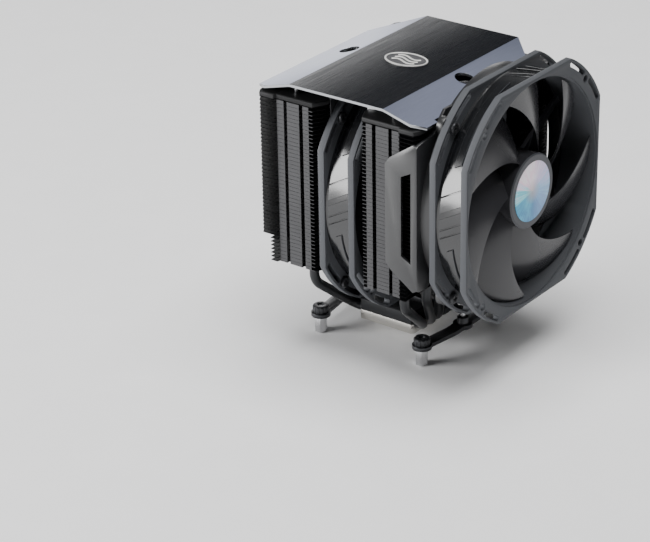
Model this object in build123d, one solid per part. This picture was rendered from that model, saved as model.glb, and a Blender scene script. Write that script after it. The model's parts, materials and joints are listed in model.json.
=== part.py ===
"""CPU tower cooler: two fin towers on heat pipes, two 140 mm class fans and a bent top cover.

Millimetres, +Z up. The origin is the centre of the cold plate's underside. X is the fan axis, and
+X points out of the front fan's intake. Y runs across the fans.
"""
import os
from math import atan, cos, degrees, radians, sin, tan

from build123d import *

# ---- Base -----------------------------------------------------------------------------------
base_length = 40.0          # along X
base_edge = 1.0             # outside the outermost pipes, along Y
cold_plate_height = 6.0     # up to the pipes' centre line
base_block_height = 8.0     # above the pipes' centre line
joint_gap = 0.05            # solder gap around each heat pipe
base_corner = 1.5
base_top_chamfer = 1.0

# ---- Heat pipes -----------------------------------------------------------------------------
pipe_radius = 3.0
pipe_wall = 1.0             # metal between the pipes in the base
pipe_leg_y = (13.0, 31.0, 49.0)       # rows in the towers, mirrored about the middle
pipe_leg_x = (33.0, 36.0, 33.0)       # distance of each leg from the cooler's middle plane
pipe_straight = 6.0                   # straight run outside the base block before the bend
pipe_low_bend = 8.0                   # bend radius beside the base
pipe_high_bend = 12.0                 # bend radius below the fins
pipe_bend_drop = 18.0                 # height of the upper bend below the lowest fin
pipe_end_rise = 1.6                   # closed end above the top fin
pipe_end_chamfer = 0.8

# ---- Fans -----------------------------------------------------------------------------------
fan_size = 140.0            # across the flats
fan_depth = 25.0
corner_cut_share = 1 / 7    # each corner is cut by this share of the fan's size
fan_hole_inset = 4.75       # screw holes inside the corner circle, on the diagonal
fan_hole_radius = 2.3
flange_thickness = 4.0
bore_inset = 2.5            # bore inside the flats
barrel_wall = 1.6
bore_flare = 1.0
corner_slot_width = 3.2
corner_slot_angles = (10.0, 6.0)      # middle of each slot from the corner, and half its length
strut_count = 6
strut_width = 4.0
strut_depth = 2.6
blade_count = 7
blade_tip_gap = 1.5
blade_sweep = 52.0          # degrees that the leading edge runs ahead from hub to tip
blade_sweep_power = 0.77    # under 1, most of the sweep is near the hub
blade_chord = 46.0          # degrees from leading to trailing edge
blade_lead_angle = -37.0    # leading edge of the first blade at the hub
blade_root_thickness = 2.0
blade_tip_thickness = 1.2
blade_camber = 0.07         # bulge over chord length
blade_front_drop = 1.6      # leading edge behind the hub's face
blade_rear_rise = (1.0, 3.0)          # trailing edge above the hub's lower edge, and extra at the tip
blade_edge = 0.6            # thickness along both edges
blade_stations = 5
hub_radius = 22.5
hub_wall = 1.6
hub_recess = 1.7            # hub's face behind the frame's front
hub_chamfer = 0.8
rotor_floor = 4.0           # rotor's lower edge above the frame's rear
hub_ring_width = 4.3        # matt ring round the disc
hub_disc_thickness = 0.3
shaft_radius = 1.5
running_gap = 0.05
fit_gap = 0.02
bearing_wall = 2.0
bearing_tube_wall = 1.0
bearing_tube_top = 15.0
cup_thickness = 1.8
cup_rim = 1.5
cup_gap = 0.5               # cup's rim to the rotor
wire_hole_place = 6.0       # in from the cup's edge
board_thickness = 1.0
board_gap = 0.5             # to the cup's rim
shaft_end_gap = 0.8         # above the cup's floor
magnet_wall = 2.5
magnet_span = (5.5, 17.5)
stator_span = (5.5, 14.0)
stator_gap = 0.8            # air gap between stator and magnet
pole_count = 4
pole_width = 4.0
coil_wall = 1.5
core_ring = 2.0
pole_shoe = 1.6
pole_shoe_span = 3.4        # over the pole's width
coil_clearance = (0.3, 0.9)           # to the core's ring and to the pole's shoe
fan_screw_radius = 2.0
fan_screw_head = (3.5, 2.2)           # radius, height
cross_slot = (3.6, 0.8, 0.6)          # length, width, depth
edge_chamfer = 0.6          # screw heads and nuts

# ---- Towers ---------------------------------------------------------------------------------
plate_thickness = 0.7       # steel plate behind the middle fan
plate_inset = 0.5           # inside the fan's outline
tower_gap = 0.1             # plate to fins
tower_depth = 43.2          # along X
tower_half_width = 68.2     # to the folded edge tabs
tower_bulge = 2.0           # outer part of each fin stands out this much further
fin_count = 44
fin_pitch = 2.4
fin_thickness = 0.4
fin_stack_bottom = 50.0
short_fin_count = 7         # lowest fins, cut back for the memory modules
short_fin_depth = 35.5
fold_gap = 0.15             # each folded tab stops this far below the next fin
fold_spans = ((7.0, 11.2), (13.8, 22.6), (24.9, 29.9))   # from the tower's inner face
fold_notch_depth = 2.2
bulge_span = (30.8, 41.0)   # from the tower's inner face
bulge_ramp = 0.5
inner_corner = (4.2, 8.2)   # corner cut next to the middle fan
outer_corner = 3.7
driver_hole_radius = 6.3
cap_gap = 0.1
cap_thickness = 2.7
cap_roof = 0.8
cap_chamfer = 0.5

# ---- Top cover ------------------------------------------------------------------------------
cover_rise = 7.0            # cap to cover
cover_thickness = 1.6
cover_length = 138.2        # along Y
cover_flat_width = 65.8
cover_overhang = 2.5        # beyond the towers
wing_drop = 6.37            # from the fold to above the towers' outer faces
wing_front_corner = (7.6, 5.4)        # cut along X, along Y
wing_rear_corner = 26.0
wing_hole_radius = 6.0
bracket_notch_gap = 1.3     # notch in the wing to the bracket's slanted edge
rail_thickness = 1.0
rail_half_length = 57.0
rail_foot = 5.0
post_radius = 1.6
post_place = (21.2, 60.0)   # from the tower's inner face, and from the middle
sleeve_wall = 1.4
sleeve_gap = 0.9            # around the sleeve in the fins' hole
sleeve_drop = 3.3           # below the wing's top
badge_size = (28.0, 19.6)
badge_height = 0.7
badge_rim = 1.0
badge_engraving = 0.3
badge_line = 1.1
badge_wave = (4.0, 1.6, 3.4)          # quarter length, height, spacing

# ---- Front fan bracket ----------------------------------------------------------------------
fan_raise = 11.7            # front fan above the middle fan
middle_fan_drop = 1.2       # middle fan's top below the cover
bracket_gap = 0.3           # plate to fins
bracket_plate = 1.8
bracket_collar_length = 6.5
bracket_collar_wall = 2.0
bracket_rise = 0.5
bracket_side_gap = 1.0
bracket_side_wall = 2.0
bracket_reach = 21.7        # side tab's length along X
# X, and half the height as a share of half a fan
bracket_tab = ((0.0, 0.4343), (3.3, 0.4957), (18.9, 0.6486), (21.7, 0.6271))
bracket_slot = ((10.9, 0.35), (17.5, 0.4))      # the same for the slot in each tab
bracket_shoulder = (0.8071, 0.6743)             # Y and Z over half the fan's size
bracket_top = (0.6443, 0.8343)
bracket_fold = (2.0, 1.2)   # cut corner where the plate meets each tab
bracket_window = (14.0, 24.0)         # opening at each lower corner, outwards and across
ear_radius = 5.5
ear_depth = 4.0
ear_web = (12.0, 7.0)       # length, width
ear_web_place = 0.92        # its middle, over the hole's distance

# ---- Mounting -------------------------------------------------------------------------------
hole_spacing = 75.0         # square pattern of the board
screw_offset = 41.3         # spring screws and driver holes from the middle
board_drop = 7.5            # board below the cold plate's face
standoff_radius = 4.0
standoff_top = 3.0
stud_radius = 1.9
stud_rise = 6.5
board_hole = (1.5, 5.0)     # radius, depth of the threaded hole in each standoff
bar_thickness = 2.5
bar_width = 8.0
bar_pad_radius = 6.0
bar_middle = 12.0           # half of the straight middle part
post_outer_radius = 3.5
threaded_post_rise = 4.0
nut_radius = 5.0
nut_height = 4.5
nut_flutes = 12
flute_radius = 0.6
flute_offset = 0.25         # flute's centre outside the nut
crossbar_thickness = 3.0
crossbar_width = 14.0
crossbar_waist = 5.6
crossbar_pad_radius = 5.5
screw_radius = 1.6
screw_head = (4.5, 4.0)     # radius, height
screw_slot = (1.2, 2.0)     # width, depth
spring_length = 7.5
spring_wire = 0.55
spring_radius = 3.2
spring_turns = 3.5
clip_thickness = 0.5
clip_radius = 3.0
clip_neck = 0.5             # groove depth in the screw
clip_gap = 0.1              # below the crossbar
clip_mouth = 1.6            # over the clip's inner radius
screw_engagement = 1.0      # in the threaded post at rest

# ---- Places worked out from the sizes above ---------------------------------------------------
hub_disc_radius = hub_radius - hub_ring_width
pipe_pitch = 2 * pipe_radius + pipe_wall
pipe_base_y = [pipe_pitch * (row + 0.5) for row in range(len(pipe_leg_y))]
base_width = 2 * (pipe_pitch * len(pipe_leg_y) + base_edge)
fan_corner_radius = fan_size * (0.5 ** 0.5 - corner_cut_share)
fan_hole_spacing = (fan_corner_radius - fan_hole_inset) * 2 ** 0.5
fan_bore_radius = fan_size / 2 - bore_inset
corner_slot_inner = fan_corner_radius - fan_hole_inset
fin_stack_top = fin_stack_bottom + (fin_count - 1) * fin_pitch + fin_thickness
cap_bottom = fin_stack_top + cap_gap
cap_top = cap_bottom + cap_thickness
cover_top = cap_top + cover_rise + cover_thickness
fold_x = cover_flat_width / 2
middle_fan_z = cover_top - cover_thickness - middle_fan_drop - fan_size / 2
front_fan_z = middle_fan_z + fan_raise
tower_inner = fan_depth / 2 + plate_thickness + tower_gap
tower_outer = tower_inner + tower_depth
cover_half_width = tower_outer + cover_overhang
wing_slope = degrees(atan(wing_drop / (tower_outer - cover_flat_width / 2)))
bracket_back = tower_outer + bracket_gap
bracket_front = bracket_back + bracket_plate
front_fan_x = bracket_front + bracket_collar_length
bracket_inner_y = tower_half_width + tower_bulge + bracket_side_gap
bracket_outer_y = bracket_inner_y + bracket_side_wall
blade_tip_radius = fan_bore_radius - blade_tip_gap
hub_face = fan_depth - hub_recess
tube_inner = shaft_radius + running_gap + bearing_wall + fit_gap
tube_outer = tube_inner + bearing_tube_wall
base_top = cold_plate_height + base_block_height
crossbar_top = base_top + crossbar_thickness
bar_top = standoff_top + bar_thickness
HOLES = [(sx * fan_hole_spacing / 2, sy * fan_hole_spacing / 2) for sx in (-1, 1) for sy in (-1, 1)]


def wing_height(x):
    """Height of the cover's top at a distance x from the middle plane."""
    return cover_top - max(0.0, abs(x) - fold_x) * tan(radians(wing_slope))


def cover_underside(x):
    """Height of the cover's underside at a distance x from the middle plane."""
    if abs(x) <= fold_x:
        return cover_top - cover_thickness
    return wing_height(x) - cover_thickness / cos(radians(wing_slope))


def upright(radius, low, high, x=0.0, y=0.0):
    """A round bar along Z from low to high."""
    return Pos(x, y, (low + high) / 2) * Cylinder(radius, high - low)


def tube(outer, inner, low, high, x=0.0, y=0.0):
    """A round tube along Z from low to high."""
    return upright(outer, low, high, x, y) - upright(inner, low - 1, high + 1, x, y)


def slab(sketch, low, high):
    """A flat sketch extruded along Z from low to high."""
    return Pos(0, 0, low) * extrude(sketch, high - low)


def outline(points):
    """A face with straight sides through the points, in the XY plane."""
    return make_face(Polyline(*points, close=True))


def mirrored_y(points):
    """Points with y above zero, followed by their mirror images, in order round the outline."""
    return list(points) + [(x, -y) for x, y in reversed(points)]


def group(shapes):
    """Separate solids kept together in one node."""
    return Compound([solid for shape in shapes for solid in shape.solids()])


# ---- Base and heat pipes --------------------------------------------------------------------
def pipe_rows():
    """Base row, tower row and leg distance of each heat pipe, from -Y to +Y."""
    rows = list(zip(pipe_base_y, pipe_leg_y, pipe_leg_x))
    return [(-b, -t, x) for b, t, x in reversed(rows)] + rows


def heat_pipe(base_y, leg_y, leg_x):
    """One round U pipe: through the base, out beside it and up into both towers."""
    top = fin_stack_top + pipe_end_rise
    side = [
        (base_length / 2 + pipe_straight, base_y, cold_plate_height),
        (leg_x, leg_y, fin_stack_bottom - pipe_bend_drop),
        (leg_x, leg_y, top),
    ]
    path_points = [(-x, y, z) for x, y, z in reversed(side)] + side
    bends = [pipe_high_bend, pipe_low_bend, pipe_low_bend, pipe_high_bend]
    path = FilletPolyline(*path_points, radius=bends)
    pipe = sweep(Plane(origin=path @ 0, z_dir=path % 0) * Circle(pipe_radius), path)
    ends = pipe.faces().filter_by(GeomType.PLANE).edges()
    return chamfer(ends, pipe_end_chamfer)


def pipe_grooves():
    """Round channels for the pipes, along X through the base."""
    span = base_length + 2
    bars = [Pos(0, y, cold_plate_height) * Rot(0, 90, 0) * Cylinder(pipe_radius + joint_gap, span)
            for y, _, _ in pipe_rows()]
    return Part() + bars


def cold_plate():
    block = slab(Rectangle(base_length, base_width), 0, cold_plate_height)
    block = chamfer(block.edges().filter_by(Axis.Z), base_corner)
    return block - pipe_grooves()


def base_block():
    block = slab(Rectangle(base_length, base_width), cold_plate_height, base_top)
    block = chamfer(block.edges().filter_by(Axis.Z), base_corner)
    block = chamfer(block.faces().sort_by(Axis.Z)[-1].edges(), base_top_chamfer)
    return block - pipe_grooves()


# ---- Towers, modelled on the +X side ----------------------------------------------------------
def tower_outline():
    """Outline of a fin without its notches."""
    inner, outer = tower_inner, tower_outer
    edge = tower_half_width
    proud = edge + tower_bulge
    points = [
        (inner, edge - inner_corner[1]),
        (inner + inner_corner[0], edge),
        (inner + bulge_span[0] - bulge_ramp, edge),
        (inner + bulge_span[0], proud),
        (inner + bulge_span[1], proud),
        (outer, proud - outer_corner),
    ]
    return outline(mirrored_y(points))


def fin_holes(radius_gap):
    """Heat pipe holes and the driver hole, as faces."""
    pipes = [Pos(x, y) * Circle(pipe_radius + radius_gap) for _, y, x in pipe_rows()]
    return pipes + [Pos(screw_offset, 0) * Circle(driver_hole_radius)]


def fin(depth, rise):
    """One fin with folded edge tabs up to the given rise, its underside at z = 0, cut at a depth."""
    face = tower_outline() - fin_holes(joint_gap)
    for start, end in zip(fold_spans, fold_spans[1:]):
        middle = tower_inner + (start[1] + end[0]) / 2
        notch = Rectangle(end[0] - start[1], 2 * fold_notch_depth)
        for side in (-1, 1):
            face = face - Pos(middle, side * tower_half_width) * notch
    plate = extrude(face, fin_thickness)
    for low, high in fold_spans:
        for side in (-1, 1):
            y = side * (tower_half_width - fin_thickness / 2)
            fold = Box(high - low, fin_thickness, rise)
            plate = plate + Pos(tower_inner + (low + high) / 2, y, rise / 2) * fold
    if depth < tower_depth:
        keep = Pos(tower_inner + depth / 2, 0, rise / 2) * Box(depth, 4 * tower_half_width, 2 * rise)
        plate = plate & keep
    return plate


def fin_stack():
    rise = fin_pitch - fold_gap
    kinds = [fin(short_fin_depth, rise)] * short_fin_count
    kinds += [fin(tower_depth, rise)] * (fin_count - short_fin_count - 1)
    kinds.append(fin(tower_depth, fin_thickness))
    return group(Pos(0, 0, fin_stack_bottom + index * fin_pitch) * kind for index, kind in enumerate(kinds))


def tower_cap():
    """Moulded plate over the top fin, with blind pockets for the pipe ends."""
    cap = slab(tower_outline(), cap_bottom, cap_top)
    cap = chamfer(cap.faces().sort_by(Axis.Z)[-1].edges(), cap_chamfer)
    for _, y, x in pipe_rows():
        cap = cap - upright(pipe_radius + 2 * joint_gap, cap_bottom - 1, cap_top - cap_roof, x, y)
    hole = driver_hole_radius - sleeve_gap + fit_gap
    return cap - upright(hole, cap_bottom - 1, cap_top + 1, screw_offset)


def driver_sleeve():
    """Metal ring in the cap that guides the screwdriver, with a flange on the cap."""
    outer = driver_hole_radius - sleeve_gap
    inner = outer - sleeve_wall
    top = wing_height(screw_offset) - sleeve_drop
    barrel = tube(outer, inner, cap_bottom, top, screw_offset)
    return barrel + tube(outer + sleeve_wall, inner, cap_top, cap_top + sleeve_wall / 2, screw_offset)


def cover_posts():
    """Upright pins between the caps and the wings."""
    x = tower_inner + post_place[0]
    top = cover_underside(x + post_radius)
    corners = [(sx * x, sy * post_place[1]) for sx in (-1, 1) for sy in (-1, 1)]
    return [upright(post_radius, cap_top, top, *corner) for corner in corners]


def front_cover_rail():
    """Bent steel strip that carries the cover on the front tower's cap."""
    height = cover_top - cover_thickness - cap_top
    length = 2 * rail_half_length
    strip = Box(rail_thickness, length, height)
    wall = Pos(tower_inner + rail_thickness / 2, 0, cap_top + height / 2) * strip
    foot_place = Pos(tower_inner + rail_foot / 2, 0, cap_top + rail_thickness / 2)
    return wall + foot_place * Box(rail_foot, length, rail_thickness)


# ---- Top cover --------------------------------------------------------------------------------
def bracket_notch():
    """Half the width of the wing's notch, where the bracket's slanted edges pass it."""
    half = fan_size / 2
    (wide, low), (narrow, high) = bracket_shoulder, bracket_top
    height = cover_underside(cover_half_width) - front_fan_z - bracket_rise
    share = (height / half - low) / (high - low)
    return half * (wide + share * (narrow - wide)) + bracket_notch_gap


def top_cover():
    half = cover_half_width
    top = [(-half, wing_height(half)), (-fold_x, cover_top), (fold_x, cover_top), (half, wing_height(half))]
    under = [(x, cover_underside(x)) for x in (half, fold_x, -fold_x, -half)]
    bent = extrude(Plane.XZ * outline(top + under), cover_length / 2, both=True)
    end = cover_length / 2
    right = [
        (fold_x, end),
        (half, end - wing_rear_corner),
        (half, wing_front_corner[1] - end),
        (half - wing_front_corner[0], -end),
    ]
    plan = outline(right + [(-x, y) for x, y in reversed(right)])
    for side in (-1, 1):
        plan = plan - Pos(side * screw_offset, 0) * Circle(wing_hole_radius)
    notch = Pos(tower_outer + half, 0) * Rectangle(2 * half, 2 * bracket_notch())
    return bent & slab(plan - notch, 0, 2 * cover_top)


def badge():
    """Oval plate with a raised rim and three raised waves of air."""
    wide, high = badge_size[0] / 2, badge_size[1] / 2
    plate = slab(Ellipse(wide, high), 0, badge_height)
    field = slab(Ellipse(wide - badge_rim, high - badge_rim), badge_height - badge_engraving, badge_height)
    plate = plate - field
    run, rise, spacing = badge_wave
    for offset in (-spacing, 0.0, spacing):
        heights = (0.0, rise, 0.0, -rise, 0.0)
        wave = Spline(*[(run * (step - 2), offset + height) for step, height in enumerate(heights)])
        ridge = trace(wave, badge_line)
        plate = plate + slab(ridge, badge_height - badge_engraving, badge_height)
    return Pos(0, 0, cover_top) * plate


# ---- Fans, modelled with the axis on Z, the rear face at z = 0 and the intake on top ------------
def fan_place(rear_x, centre_z):
    """Turns the fan's axis to +X, its own x to Y and its own y to Z."""
    return Plane(origin=(rear_x, 0, centre_z), x_dir=(0, 1, 0), z_dir=(1, 0, 0)).location


def corner_slot(turn):
    """Curved slot through a flange, its middle at the given angle."""
    half = corner_slot_angles[1]
    middle = corner_slot_inner + corner_slot_width / 2
    return SlotArc(CenterArc((0, 0), middle, turn - half, 2 * half), corner_slot_width)


def flange(low):
    """One of the frame's two square flanges with cut corners, bored, drilled and slotted."""
    face = Circle(fan_corner_radius) & Rectangle(fan_size, fan_size)
    face = face - Circle(fan_bore_radius)
    for x, y in HOLES:
        face = face - Pos(x, y) * Circle(fan_hole_radius)
    for corner in range(45, 360, 90):
        for side in (-1, 1):
            face = face - corner_slot(corner + side * corner_slot_angles[0])
    return slab(face, low, low + flange_thickness)


def fan_frame():
    """Flanges, barrel, struts, motor cup and bearing tube in one moulding."""
    frame = flange(0) + flange(fan_depth - flange_thickness)
    frame = frame + tube(fan_bore_radius + barrel_wall, fan_bore_radius, 0, fan_depth)
    for level in (0, fan_depth):
        frame = frame - Pos(0, 0, level) * Cylinder(fan_bore_radius + bore_flare, 2 * bore_flare)
    strut_length = fan_bore_radius - hub_radius + barrel_wall
    strut_middle = hub_radius - barrel_wall / 2 + strut_length / 2
    for index in range(strut_count):
        beam = Box(strut_length, strut_width, strut_depth)
        strut = Pos(strut_middle, 0, bore_flare + strut_depth / 2) * beam
        frame = frame + Rot(0, 0, 360 / strut_count * (index + 0.5)) * strut
    rim_top = rotor_floor - cup_gap
    frame = frame + upright(hub_radius, 0, cup_thickness)
    frame = frame + tube(hub_radius, hub_radius - cup_rim, 0, rim_top)
    frame = frame + tube(tube_outer, tube_inner, 0, bearing_tube_top)
    return frame - upright(fan_screw_radius, -1, cup_thickness + 1, hub_radius - wire_hole_place)


def blade_section(radius):
    """Thin cambered section of a blade, in the plane square to the radius."""
    share = (radius - hub_radius) / (blade_tip_radius - hub_radius)
    chord = radians(blade_chord)
    middle_angle = blade_lead_angle + blade_sweep * max(share, 0) ** blade_sweep_power - blade_chord / 2
    half = radius * tan(chord / 2)
    front = hub_face - blade_front_drop
    rear = rotor_floor + blade_rear_rise[0] + blade_rear_rise[1] * share
    thick = blade_root_thickness + (blade_tip_thickness - blade_root_thickness) * share
    bulge = blade_camber * 2 * half
    level = (front + rear) / 2
    rear_low, front_low = rear - blade_edge, front - blade_edge
    upper = Spline((half, front), (0, level + bulge + thick / 2), (-half, rear))
    lower = Spline((-half, rear_low), (0, level + bulge - thick / 2), (half, front_low))
    sides = [upper, Line((-half, rear), (-half, rear_low)), lower, Line((half, front_low), (half, front))]
    turn = radians(middle_angle)
    outward = Vector(cos(turn), sin(turn), 0)
    place = Plane(origin=outward * radius, x_dir=(-sin(turn), cos(turn), 0), z_dir=outward)
    return place * make_face(Wire(sides))


def fan_blade():
    """Sickle blade, trimmed to the tip circle and to the hub's wall."""
    first, last = hub_radius - 2 * hub_wall, blade_tip_radius + blade_tip_gap / 3
    radii = [first + (last - first) * index / (blade_stations - 1) for index in range(blade_stations)]
    whole = loft([blade_section(radius) for radius in radii])
    ring = tube(blade_tip_radius, hub_radius - hub_wall / 2, 0, fan_depth)
    return whole & ring


def fan_rotor():
    """Hub cup with its shaft boss and seven blades."""
    shell = upright(hub_radius, rotor_floor, hub_face)
    shell = chamfer(shell.faces().sort_by(Axis.Z)[-1].edges(), hub_chamfer)
    shell = shell - upright(hub_radius - hub_wall, rotor_floor - 1, hub_face - hub_wall)
    boss = upright(2 * shaft_radius, bearing_tube_top + 1, hub_face - hub_wall / 2)
    hub = shell + boss - upright(shaft_radius + fit_gap, rotor_floor, hub_face - hub_wall)
    blade = fan_blade()
    for index in range(blade_count):
        hub = hub + Rot(0, 0, 360 / blade_count * index) * blade
    return hub


def hub_disc():
    return upright(hub_disc_radius, hub_face, hub_face + hub_disc_thickness)


def magnet_ring():
    outer = hub_radius - hub_wall - fit_gap
    return tube(outer, outer - magnet_wall, *magnet_span)


def fan_shaft():
    return upright(shaft_radius, cup_thickness + shaft_end_gap, hub_face - hub_wall)


def fan_bearing():
    inner = shaft_radius + running_gap
    return tube(inner + bearing_wall, inner, cup_thickness + fit_gap, bearing_tube_top - fit_gap)


def stator_radius():
    return hub_radius - hub_wall - fit_gap - magnet_wall - stator_gap


def stator_core():
    """Laminated core with T-shaped poles around the bearing tube."""
    low, high = stator_span
    reach = stator_radius()
    level = (low + high) / 2
    core = tube(tube_outer + core_ring, tube_outer + fit_gap, low, high)
    start, end = tube_outer + core_ring / 2, reach - pole_shoe / 2
    pole = Pos((start + end) / 2, 0, level) * Box(end - start, pole_width, high - low)
    wedge = Pos(reach, 0, level) * Box(reach, pole_shoe_span * pole_width, high - low)
    shoe = tube(reach, reach - pole_shoe, low, high) & wedge
    for index in range(pole_count):
        core = core + Rot(0, 0, 360 / pole_count * index) * (pole + shoe)
    return core


def stator_coils():
    """One winding around each pole."""
    low, high = stator_span
    inner = tube_outer + core_ring + coil_clearance[0]
    outer = stator_radius() - pole_shoe - coil_clearance[1]
    middle = Pos((inner + outer) / 2, 0, (low + high) / 2)
    block = Box(outer - inner, pole_width + 2 * coil_wall, high - low + 2 * coil_wall)
    core = Box(outer - inner + 1, pole_width + 2 * fit_gap, high - low + 2 * fit_gap)
    coil = middle * (block - core)
    return group([Rot(0, 0, 360 / pole_count * index) * coil for index in range(pole_count)])


def circuit_board():
    outer = hub_radius - cup_rim - board_gap
    return tube(outer, tube_outer + fit_gap, cup_thickness, cup_thickness + board_thickness)


def fan_screws(reach):
    """Screws through the rear flange, heads between the flanges, reaching behind the frame."""
    radius, height = fan_screw_head
    screws = []
    for x, y in HOLES:
        head = upright(radius, flange_thickness, flange_thickness + height, x, y)
        head = chamfer(head.faces().sort_by(Axis.Z)[-1].edges(), edge_chamfer)
        long, wide, deep = cross_slot
        cross = Box(long, wide, 2 * deep) + Box(wide, long, 2 * deep)
        head = head - Pos(x, y, flange_thickness + height) * cross
        screws.append(head + upright(fan_screw_radius, -reach, flange_thickness, x, y))
    return group(screws)


FAN_PARTS = {
    "fan_frame": fan_frame,
    "fan_rotor": fan_rotor,
    "hub_disc": hub_disc,
    "magnet_ring": magnet_ring,
    "fan_shaft": fan_shaft,
    "fan_bearing": fan_bearing,
    "stator_core": stator_core,
    "stator_coils": stator_coils,
    "fan_circuit_board": circuit_board,
}


# ---- Fan carriers -----------------------------------------------------------------------------
def middle_fan_plate():
    """Steel plate between the middle fan and the rear tower, standing up to the cover."""
    height = cover_top - cover_thickness - middle_fan_z
    place = fan_place(-fan_depth / 2 - plate_thickness, middle_fan_z)
    flats = fan_size - 2 * plate_inset
    face = Circle(fan_corner_radius - plate_inset) & Rectangle(flats, flats)
    face = face + Pos(0, height / 2) * Rectangle(2 * rail_half_length, height)
    face = face - Circle(fan_bore_radius)
    for x, y in HOLES:
        face = face - Pos(x, y) * Circle(fan_screw_radius + fit_gap)
    return place * extrude(face, plate_thickness)


def front_fan_bracket():
    """Plate on the front tower with folded side tabs and the fan's collar, open at its lower corners."""
    place = fan_place(bracket_back, front_fan_z)
    half = fan_size / 2
    half_height = half * bracket_tab[-1][1]
    corner = [
        (bracket_outer_y, half_height),
        (bracket_outer_y - bracket_fold[0], half_height + bracket_fold[1]),
        (half * bracket_shoulder[0], half * bracket_shoulder[1]),
        (half * bracket_top[0], half * bracket_top[1]),
    ]
    left = [(-x, y) for x, y in reversed(corner)]
    upper = corner + left
    face = Pos(0, bracket_rise) * outline(upper + [(x, -y) for x, y in reversed(upper)])
    body = extrude(face, bracket_plate)
    depth = bracket_plate + bracket_collar_length
    body = body + upright(fan_bore_radius + bracket_collar_wall, 0, depth)
    for x, y in HOLES:
        body = body + upright(ear_radius, depth - ear_depth, depth, x, y)
        turn = 45 if x * y > 0 else -45
        web = Pos(Vector(x, y, 0) * ear_web_place) * Rot(0, 0, turn) * Box(*ear_web, ear_depth)
        body = body + Pos(0, 0, depth - ear_depth / 2) * web
    body = body - upright(fan_bore_radius, -1, depth + 1)
    for x, y in HOLES:
        body = body - upright(fan_screw_radius + fit_gap, 0, depth + 1, x, y)
    reach, width = bracket_window
    window_depth = depth - ear_depth
    for turn in (-45, -135):
        window = Pos(fan_bore_radius + reach / 2, 0, 0) * Box(reach, width, 2 * window_depth)
        body = body - Rot(0, 0, turn) * window
    body = place * body
    start = bracket_front - bracket_reach
    tab_points = [(start + x, half * share) for x, share in bracket_tab]
    tab = outline(tab_points + [(x, -z) for x, z in reversed(tab_points)])
    slot_points = [(start + x, half * share) for x, share in bracket_slot]
    tab = tab - outline(slot_points + [(x, -z) for x, z in reversed(slot_points)])
    for side in (-1, 1):
        near = side * (bracket_inner_y + bracket_side_wall / 2)
        wall = extrude(Plane.XZ * tab, bracket_side_wall / 2, both=True)
        wall = Pos(0, near, front_fan_z + bracket_rise) * wall
        body = body + wall
    return body


# ---- Mounting -----------------------------------------------------------------------------------
def crossbar():
    """Flat steel bar along X over the base block, necked where it passes between the pipes."""
    face = Rectangle(base_length, crossbar_width) + Rectangle(2 * screw_offset, crossbar_waist)
    for side in (-1, 1):
        face = face + Pos(side * screw_offset, 0) * Circle(crossbar_pad_radius)
    for side in (-1, 1):
        face = face - Pos(side * screw_offset, 0) * Circle(screw_radius + running_gap)
    return slab(face, base_top, crossbar_top)


def clip_span():
    high = base_top - clip_gap
    return high - clip_thickness, high


def spring_screw():
    """Captive screw: slotted head, plain shank with a clip groove, and its end in the bar's post."""
    head_radius, head_height = screw_head
    seat = crossbar_top + spring_length
    tip = bar_top + threaded_post_rise - screw_engagement
    head = upright(head_radius, seat, seat + head_height)
    head = chamfer(head.faces().sort_by(Axis.Z)[-1].edges(), edge_chamfer)
    slot = Box(2 * head_radius + 1, screw_slot[0], 2 * screw_slot[1])
    screw = head - Pos(0, 0, seat + head_height) * slot + upright(screw_radius, tip, seat)
    low, high = clip_span()
    groove = tube(screw_radius + 1, screw_radius - clip_neck, low - running_gap, high + running_gap)
    return screw - groove


def retaining_clip():
    """Open steel ring in the screw's groove, under the crossbar."""
    low, high = clip_span()
    inner = screw_radius - clip_neck + running_gap
    ring = tube(clip_radius, inner, low, high)
    opening = Box(2 * clip_radius, clip_mouth * inner, 2 * clip_thickness)
    mouth = Pos(clip_radius, 0, (low + high) / 2) * opening
    return ring - mouth


def screw_spring():
    """Coil spring between the crossbar and the screw's head."""
    height = spring_length - 2 * spring_wire - 2 * fit_gap
    path = Helix(pitch=height / spring_turns, height=height, radius=spring_radius)
    coil = sweep(Plane(origin=path @ 0, z_dir=path % 0) * Circle(spring_wire), path, is_frenet=True)
    return Pos(0, 0, crossbar_top + spring_wire + fit_gap) * coil


def mounting_bar():
    """Bowed bar between two standoffs, with a threaded post for the spring screw."""
    half = hole_spacing / 2
    inner, outer = screw_offset - bar_width / 2, screw_offset + bar_width / 2
    shift = screw_offset - half
    points = [(inner, bar_middle), (inner - shift, half), (outer - shift, half), (outer, bar_middle)]
    face = outline(mirrored_y(points))
    for side in (-1, 1):
        face = face + Pos(half, side * half) * Circle(bar_pad_radius)
    face = face + Pos(screw_offset, 0) * Circle(bar_pad_radius)
    for side in (-1, 1):
        face = face - Pos(half, side * half) * Circle(stud_radius + running_gap)
    post_top = bar_top + threaded_post_rise
    bar = slab(face, standoff_top, bar_top) + upright(post_outer_radius, bar_top, post_top, screw_offset)
    return bar - upright(screw_radius + running_gap, 0, post_top + 1, screw_offset)


def standoff():
    """Hexagonal pillar with a threaded hole below and a stud above."""
    body = slab(RegularPolygon(standoff_radius, 6), -board_drop, standoff_top)
    stud = upright(stud_radius, standoff_top, standoff_top + stud_rise)
    return body + stud - upright(board_hole[0], -board_drop - 1, board_hole[1] - board_drop)


def thumb_nut():
    """Round nut with a fluted edge."""
    nut = upright(nut_radius, bar_top, bar_top + nut_height)
    nut = chamfer(nut.faces().sort_by(Axis.Z)[-1].edges(), edge_chamfer)
    flute = upright(flute_radius, bar_top - 1, bar_top + nut_height + 1, nut_radius + flute_offset)
    for index in range(nut_flutes):
        nut = nut - Rot(0, 0, 360 / nut_flutes * index) * flute
    return nut - upright(stud_radius + running_gap, 0, bar_top + nut_height + 1)


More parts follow.
